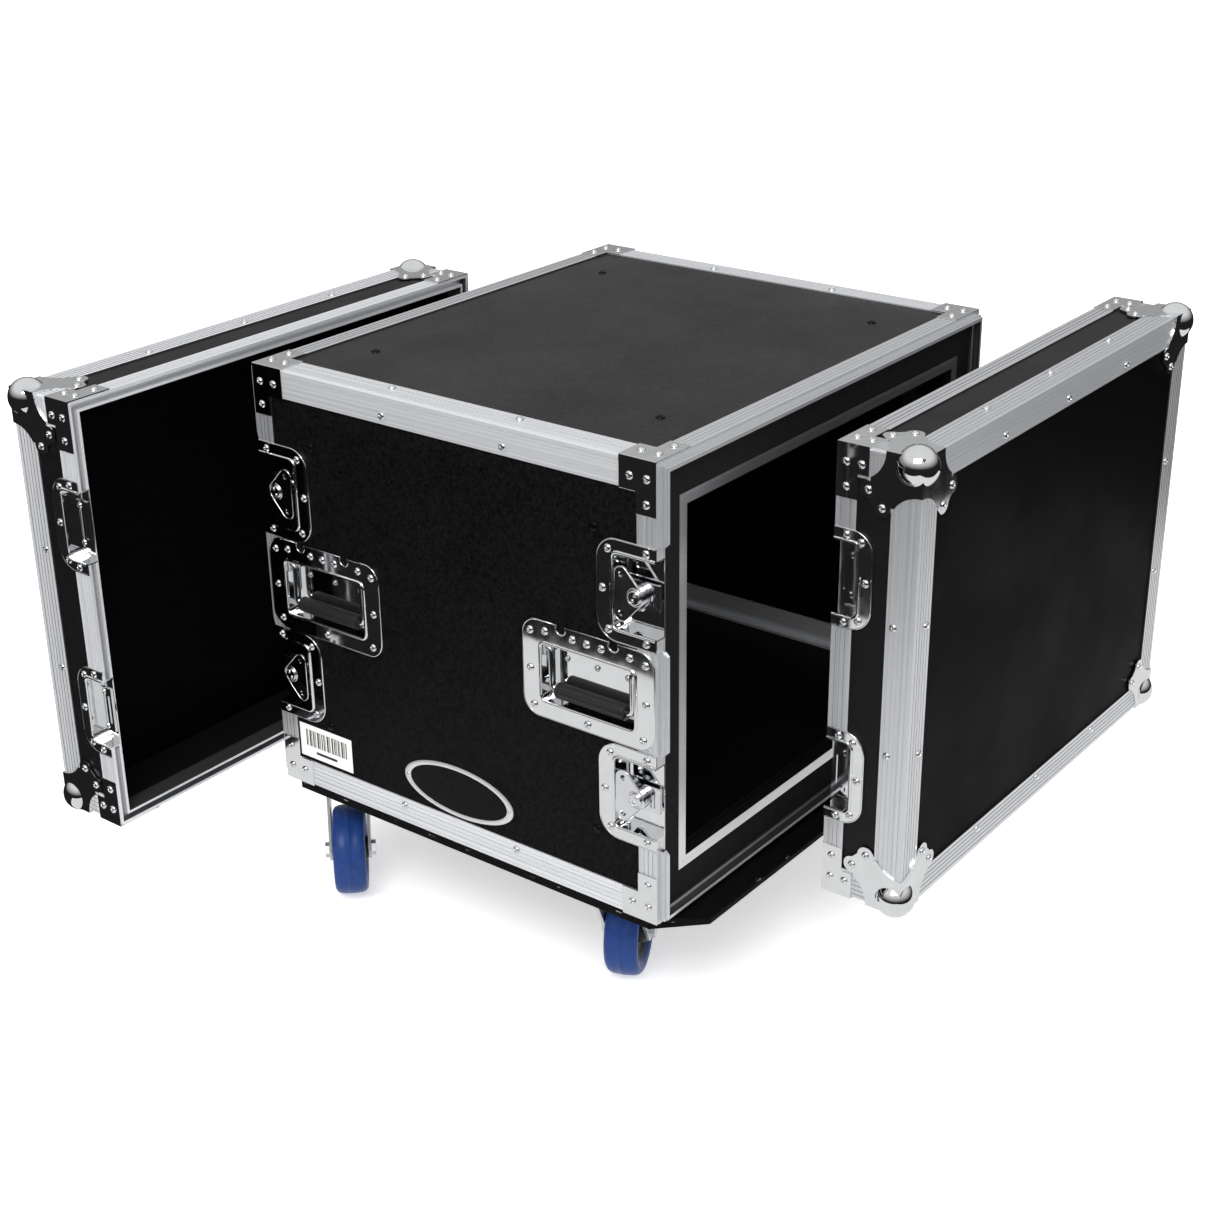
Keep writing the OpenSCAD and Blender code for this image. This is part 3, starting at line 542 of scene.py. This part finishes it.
BEAD_R = 1.6 * MM
ROLLED_R = 0.9 * MM
ROLLED_IN = 0.6 * MM
HANDLE_PAN = (113 * MM, 63 * MM)
HANDLE_PAN_LOW = 2.5 * MM
PAN_CORNER = 7 * MM
LATCH_PAN_HALF = 38.5 * MM
LATCH_PAN_LONG = 50 * MM
KEEPER_PAN_LONG = 28.5 * MM
DISH_CORNER = 22 * MM
HANDLE_CORNER = 18 * MM
NOTCH_Y = 31 * MM
NOTCH_R = 6 * MM
PAN_RIVETS = (-36 * MM, 0, 36 * MM)
PAN_RIVET_SCALE = 0.8
PAN_RIVET_Z = 10 * MM
PAN_DEPTH = 15 * MM
OPEN_GAP = 0.5 * MM


def notched_outline(width, height, radius):
    """Outline of a handle dish, with the two finger notches in its upper edge."""
    points = rounded_outline(width, height, radius)
    corner = len(points) // 4
    notches = [p for y in (NOTCH_Y, -NOTCH_Y)
               for p in arc((y, height / 2 - NOTCH_R / 2), NOTCH_R, 30, -210, 12)]
    return points[:corner] + notches + points[corner:]


def handle_beads():
    beads, edges, rivets = [], [], []
    for points in islands("handle_dishes"):
        low, high = limits(points)
        side = 1 if high.x > 0 else -1
        x = high.x if side > 0 else low.x
        y = (low.y + high.y) / 2
        beads.append([Vector((x, y + a, MID_Z - HANDLE_PAN_LOW + b))
                      for a, b in rounded_outline(*HANDLE_PAN, PAN_CORNER)])
        edges.append([Vector((x - side * ROLLED_IN, y + a, MID_Z + b)) for a, b in
                      notched_outline(high.y - low.y - ROLLED_R, high.z - low.z - ROLLED_R, HANDLE_CORNER)])
        rivets += [facing(Vector((side * (SIDE_X - PAN_DEPTH), y + a, MID_Z + PAN_RIVET_Z)), (side, 0, 0))
                   for a in PAN_RIVETS]
    outline_tube("handle_dish_beads", beads, BEAD_R, CHROME, "root")
    outline_tube("handle_dish_edges", edges, ROLLED_R, CHROME, "root")
    profile = [(PAN_RIVET_SCALE * r * RIVET_R, h * RIVET_H) for r, h in RIVET_SHAPE]
    turned_heads("handle_pan_rivets", profile, rivets, RIVET, "root")


def open_bead(x, rim_y, inward, middle_z, length, half, corner):
    """A path round a pan or dish that opens at the rim: along the top, down the inner end and back."""
    upper = arc((length - corner, half - corner), corner, 90, 0)
    lower = arc((length - corner, corner - half), corner, 0, -90)
    path = [(OPEN_GAP, half)] + upper + lower + [(OPEN_GAP, -half)]
    return [Vector((x, rim_y + inward * a, middle_z + b)) for a, b in path]


def dish_beads(name, node, body, pan_long, middle_x, inward_of):
    beads, edges = [], []
    for points in islands(node):
        low, high = limits(points)
        side = 1 if (low.x + high.x) / 2 > middle_x else -1
        x = high.x if side > 0 else low.x
        flat = [p for p in points if abs(p.x - x) < 0.1 * MM]
        low, high = limits(flat)
        inward = inward_of((low.y + high.y) / 2)
        rim_y = low.y if inward > 0 else high.y
        middle_z = (low.z + high.z) / 2
        beads.append(open_bead(x, rim_y, inward, middle_z, pan_long, LATCH_PAN_HALF, PAN_CORNER))
        edges.append(open_bead(x - side * ROLLED_IN, rim_y, inward, middle_z,
                               high.y - low.y - ROLLED_R / 2, (high.z - low.z - ROLLED_R) / 2, DISH_CORNER))
    outline_tube(f"{name}_beads", beads, BEAD_R, CHROME, body, closed=False)
    outline_tube(f"{name}_edges", edges, ROLLED_R, CHROME, body, closed=False)


handle_beads()
dish_beads("latch_dish", "latch_dishes", "root", LATCH_PAN_LONG, 0, lambda y: -1 if y > 0 else 1)
for end, sign in ENDS:
    lid_low, lid_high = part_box(f"{end}_lid_panel")
    dish_beads(f"{end}_keeper", f"{end}_lid_keepers", f"{end}_lid", KEEPER_PAN_LONG,
               (lid_low.x + lid_high.x) / 2, lambda y, sign=sign: sign)

# ---------- wings ----------

WING_HUB_R = 9.5 * MM
WING_LOBE = (-15 * MM, 19 * MM)
WING_LOBE_R = 7.8 * MM
WING_FACE_DROP = 2.6 * MM
WING_CAP_DROP = 0.9 * MM
WING_CAP_R = 6.5 * MM
WING_RING_R = 8.6 * MM
WING_DOT = (1.5 * MM, 3 * MM)
WING_DOT_SIZE = (2.0 * MM, 1.2 * MM)
WING_LINE_R = 0.6 * MM
WING_RING = (0, 345, 23)
PIN_SHAPE = ((1, 0), (0.9, 0.5), (0.6, 0.9), (0, 1))


def wing_trim(name):
    """Rolled edges of one butterfly wing and its hub, and the two pins in the hub."""
    low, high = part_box(name)
    side = 1 if high.x > 0 else -1
    end = 1 if high.y > 0 else -1
    outer = high.x if side > 0 else low.x
    hub_y = (high.y if end > 0 else low.y) - end * WING_HUB_R
    middle_z = (low.z + high.z) / 2

    def at(points, drop):
        return [Vector((outer - side * drop, hub_y + end * a, middle_z + b)) for a, b in points]

    a, b = WING_LOBE
    shape = (arc((a, b), WING_LOBE_R, 40, 180) + arc((a, -b), WING_LOBE_R, 180, 320)
             + arc((0, 0), WING_HUB_R, -40, 40))
    rings = [at(arc((0, 0), WING_RING_R, *WING_RING), WING_FACE_DROP),
             at(arc((0, 0), WING_CAP_R, *WING_RING), WING_CAP_DROP)]
    outline_tube(f"{name}_edges", [at(shape, WING_FACE_DROP)] + rings, WING_LINE_R, CHROME, name)
    radius, tall = WING_DOT_SIZE
    profile = [(r * radius, h * tall) for r, h in PIN_SHAPE]
    spots = at([(s * WING_DOT[0], s * WING_DOT[1]) for s in (-1, 1)], WING_CAP_DROP)
    places = [facing(spot, (side, 0, 0)) for spot in spots]
    turned_heads(f"{name}_pins", profile, places, RIVET, name)


for name in NODES:
    if name.startswith("wing_"):
        wing_trim(name)

# ---------- handles ----------

BAIL_R = 3.6 * MM
BAIL_HALF = 48 * MM
BAIL_REACH = 55.4 * MM
BAIL_DROP = 42 * MM
BAIL_BEND = 6 * MM
GRIP_R = 8 * MM
GRIP_HALF = 41 * MM
FLUTES = 18
FLUTE_DEPTH = 0.35 * MM
FLUTED = 0.865
GRIP_STEPS = 72
GRIP_SMOOTH = 35
GRIP_END = ((0.5, 1), (0.86, 1), (0.97, 0.985), (1, 0.96), (1, 0.9), (0.93, 0.89), (0.93, 0.87), (1, 0.86))


def make_handle(side, end):
    key = f"{side}_{end}"
    pivot = Vector(JOINTS[f"handle_lift_{key}"]["pos_m"])
    low_corner = arc((BAIL_HALF - BAIL_BEND, BAIL_BEND - BAIL_DROP), BAIL_BEND, -90, 0)
    half_wire = low_corner + [(BAIL_HALF, -BAIL_R), (BAIL_HALF + 1.2 * MM, -0.8 * MM),
                              (BAIL_HALF + BAIL_R, 0), (BAIL_REACH, 0)]
    wire = [(-a, b) for a, b in reversed(half_wire)] + half_wire
    outline_tube(f"handle_wire_{key}", [[pivot + Vector((0, a, b)) for a, b in wire]], BAIL_R, ZINC,
                 f"handle_{key}", closed=False)
    half = [(r * GRIP_R, h * GRIP_HALF) for r, h in GRIP_END]
    profile = [(r, -h) for r, h in half] + list(reversed(half))

    def flute(angle, height):
        middle = abs(height) < FLUTED * GRIP_HALF
        return -FLUTE_DEPTH * (0.5 - 0.5 * math.cos(FLUTES * angle)) if middle else 0

    def build(bm):
        lathe(bm, profile, facing(pivot - Vector((0, 0, BAIL_DROP)), (0, 1, 0)), GRIP_STEPS, flute)

    piece(f"handle_grip_{key}", build, RUBBER, f"handle_{key}", (f"handle_{key}",), GRIP_SMOOTH)


for side, _ in SIDES:
    for end, _ in ENDS:
        make_handle(side, end)

# ---------- casters ----------

TYRE_HALF = ((33, 13.2), (36, 15.8), (41, 17.8), (44.5, 17.6), (47.3, 15.6), (49, 12), (49.6, 7), (49.7, 0.6),
             (50, 0.35))
CORE_HALF = ((5.2, 19.4), (11, 19.4), (13.5, 18.4), (14.6, 16.5), (15.2, 9.6), (24, 8.8), (29, 10.5),
             (31.5, 13.4), (33.4, 14))
TYRE_STEPS = 96
CORE_STEPS = 64
TYRE_SMOOTH = 60
CORE_SMOOTH = 35


def mirrored(half):
    """A full profile in metres from its upper half in millimetres."""
    upper = [(r * MM, h * MM) for r, h in half]
    return [(r, h) for r, h in upper] + [(r, -h) for r, h in reversed(upper)]


def make_wheel(side, end):
    key = f"{side}_{end}"
    roll = JOINTS[f"wheel_roll_{key}"]
    place = facing(Vector(roll["pos_m"]), roll["axis"])

    def tyre(bm):
        lathe(bm, mirrored(TYRE_HALF), place, TYRE_STEPS)

    def core(bm):
        lathe(bm, mirrored(CORE_HALF), place, CORE_STEPS)

    piece(f"wheel_tyre_{key}", tyre, TYRE, f"wheel_{key}", (f"wheel_{key}",), TYRE_SMOOTH)
    piece(f"wheel_core_{key}", core, CORE, f"wheel_{key}", (f"wheel_{key}",), CORE_SMOOTH)


for side, _ in SIDES:
    for end, _ in ENDS:
        make_wheel(side, end)

# ---------- nameplate and label ----------

BADGE_RIM_WIDE = (8 * MM, 4.5 * MM)
BADGE_PIN = 4.5 * MM
LABEL_Y = (151 * MM, 228 * MM)
LABEL_Z = (34 * MM, 73.5 * MM)
PANEL_INSET = 1.5 * MM
PAPER_T = 0.3 * MM
FLAT_SMOOTH = 30
BADGE_PIN_SHAPE = ((1.6 * MM, -0.2 * MM), (1.5 * MM, 0.3 * MM), (1.1 * MM, 0.7 * MM), (0, 0.9 * MM))
BAR_WIDTHS = (2, 1, 1, 3, 1, 2, 1, 1, 2, 3, 1, 1, 3, 1, 2, 2, 1, 1, 3, 1, 1, 2, 1, 3, 1, 2)


def ellipse(a, b, steps=96):
    angles = [math.tau * i / steps for i in range(steps)]
    return [(a * math.cos(t), b * math.sin(t)) for t in angles]


def oval_rings(bm, x, middle, rings):
    """Joins ellipses given as (offset from x, half length, half height), each to the next one."""
    loops = [[bm.verts.new((x + level, middle.y + p, middle.z + q)) for p, q in ellipse(a, b)]
             for level, a, b in rings]
    for near, far in zip(loops, loops[1:]):
        for i in range(len(near)):
            after = (i + 1) % len(near)
            bm.faces.new((near[i], near[after], far[after], far[i]))
    return loops


def make_badge():
    low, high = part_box("nameplate")
    middle = (low + high) / 2
    a, b = (high.y - low.y) / 2, (high.z - low.z) / 2
    inner_a, inner_b = a - BADGE_RIM_WIDE[0], b - BADGE_RIM_WIDE[1]
    x = high.x - PANEL_INSET

    def face(bm):
        rings = [(1.1 * MM, inner_a + MM, inner_b + MM), (0.3 * MM, inner_a + MM, inner_b + MM),
                 (0.1 * MM, 0.8 * inner_a, 0.8 * inner_b), (0, 0.4 * inner_a, 0.4 * inner_b)]
        loops = oval_rings(bm, x, middle, rings)
        bm.faces.new(loops[0])
        bm.faces.new(loops[-1])

    def rim(bm):
        rings = [(1.2 * MM, a, b), (0.2 * MM, a, b), (-0.3 * MM, a - MM, b - MM),
                 (-0.3 * MM, inner_a + MM, inner_b + MM), (0.2 * MM, inner_a, inner_b),
                 (1.2 * MM, inner_a, inner_b), (1.2 * MM, a, b)]
        oval_rings(bm, x, middle, rings)

    spots = [Vector((x - 0.3 * MM, middle.y + side * (a - BADGE_PIN), middle.z)) for side in (-1, 1)]
    pins = [facing(spot, (-1, 0, 0)) for spot in spots]
    piece("nameplate_face", face, BADGE_FACE, "root", ("nameplate",), FLAT_SMOOTH)
    piece("nameplate_rim", rim, BADGE_RIM, "root", ("nameplate",), FLAT_SMOOTH)
    turned_heads("nameplate_pins", BADGE_PIN_SHAPE, pins, RIVET, "root", ("nameplate",))


def slab(bm, x, depth, y, z):
    """A thin slab standing out of the left side by depth."""
    corners = [bm.verts.new((level, p, q)) for level in (x, x - depth)
               for p, q in ((y[0], z[0]), (y[1], z[0]), (y[1], z[1]), (y[0], z[1]))]
    for face in ((0, 1, 2, 3), (7, 6, 5, 4), (0, 4, 5, 1), (1, 5, 6, 2), (2, 6, 7, 3), (3, 7, 4, 0)):
        bm.faces.new([corners[i] for i in face])


def make_label():
    x = -SIDE_X + PANEL_INSET
    bottom = SHELL_LOW.z
    z = (bottom + LABEL_Z[0], bottom + LABEL_Z[1])
    piece("asset_label", lambda bm: slab(bm, x, PAPER_T, LABEL_Y, z), PAPER, "root", (), FLAT_SMOOTH)
    span = LABEL_Y[1] - LABEL_Y[0]
    unit = 0.8 * span / (2 * sum(BAR_WIDTHS))

    def bars(bm):
        y = LABEL_Y[0] + 0.1 * span
        for width in BAR_WIDTHS:
            slab(bm, x - PAPER_T, PAPER_T / 3, (y, y + width * unit), (z[0] + 14 * MM, z[1] - 6 * MM))
            y += 2 * width * unit
        slab(bm, x - PAPER_T, PAPER_T / 3, (LABEL_Y[0] + 0.3 * span, LABEL_Y[1] - 0.3 * span),
             (z[0] + 6 * MM, z[0] + 9 * MM))

    piece("asset_label_bars", bars, INK, "root", (), FLAT_SMOOTH)


make_badge()
make_label()

# ---------- studio ----------

ROOM_SOFT = 0.9
ROOM_SEEN = 1.1
MIRRORED_GLOW = (0.015, 0.75)
MIRRORED_RISE = 0.55
FLOOR_SHAPE = ((-16, -16), (16, -16), (16, 16), (-16, 16))
FLOOR_TONE = 0.9
FLOOR_GLOW = 0.5
CARD_SHAPE = ((-0.96, -1.08), (1.3, -1.08), (1.3, 1.3), (-0.34, 1.3), (-0.34, 0.5), (-0.96, 0.5))
CARD_LEVEL = -2 * MM
CARD_TONE = 0.6

def area_light(name, place, target, size, power):
    data = bpy.data.lights.new(name, "AREA")
    data.shape = "RECTANGLE"
    data.size, data.size_y = size
    data.energy = power
    made = bpy.data.objects.new(name, data)
    aim = Vector(target) - Vector(place)
    made.matrix_world = Matrix.Translation(place) @ aim.to_track_quat("-Z", "Y").to_matrix().to_4x4()
    bpy.context.scene.collection.objects.link(made)
    return made


def plane(name, corners, level, tone, glow=0.0):
    surface = grained(f"{name}_paint", (tone,) * 3, (tone * 1.01,) * 3, 30, 0.7, 0.8, 0.02, 0.0005, 0.1)
    surface.node_tree.nodes["Principled BSDF"].inputs["Emission Strength"].default_value = glow
    mesh = bpy.data.meshes.new(name)
    mesh.from_pydata([(x, y, level) for x, y in corners], [], [range(len(corners))])
    mesh.materials.append(surface)
    made = bpy.data.objects.new(name, mesh)
    bpy.context.scene.collection.objects.link(made)
    return made


def make_world():
    """A white room for the eye and for soft light. Mirrors see it grow dark towards the floor."""
    world = bpy.data.worlds.new("studio")
    bpy.context.scene.world = world
    world.use_nodes = True
    tree = world.node_tree
    tree.nodes.clear()
    direction = add(tree, "ShaderNodeTexCoord").outputs["Generated"]
    height = add(tree, "ShaderNodeSeparateXYZ", {"Vector": direction}).outputs["Z"]
    glow = spread(tree, height, *MIRRORED_GLOW, 0.0, MIRRORED_RISE)
    glossy = add(tree, "ShaderNodeLightPath").outputs["Is Glossy Ray"]
    mirrored_room = add(tree, "ShaderNodeBackground", {"Color": glow, "Strength": 1.0})
    seen = add(tree, "ShaderNodeLightPath").outputs["Is Camera Ray"]
    strength = spread(tree, seen, ROOM_SOFT, ROOM_SEEN, 0, 1)
    room = add(tree, "ShaderNodeBackground", {"Color": (1, 1, 1, 1), "Strength": strength})
    mix = add(tree, "ShaderNodeMixShader", {0: glossy})
    tree.links.new(room.outputs[0], mix.inputs[1])
    tree.links.new(mirrored_room.outputs[0], mix.inputs[2])
    tree.links.new(mix.outputs[0], add(tree, "ShaderNodeOutputWorld").inputs["Surface"])


FLOOR = plane("floor", FLOOR_SHAPE, 0.0, FLOOR_TONE, FLOOR_GLOW)
FLOOR.visible_glossy = False
CARD = plane("reflected_floor", CARD_SHAPE, CARD_LEVEL, CARD_TONE)
CARD.visible_camera = False
CARD.visible_diffuse = False
CARD.visible_shadow = False
make_world()
area_light("key", place=(-2.6, -1.2, 3.2), target=(0, 0, 0.35), size=(2.2, 1.6), power=90)
FILL = area_light("fill", place=(1.5, -3.4, 2.0), target=(0, 0, 0.3), size=(1.8, 1.8), power=45)
FILL.visible_glossy = False
BACK = area_light("back", place=(1.2, 3.0, 2.6), target=(0, 0, 0.4), size=(2.5, 1.2), power=50)
BACK.visible_glossy = False
bpy.context.scene.view_settings.view_transform = "Standard"
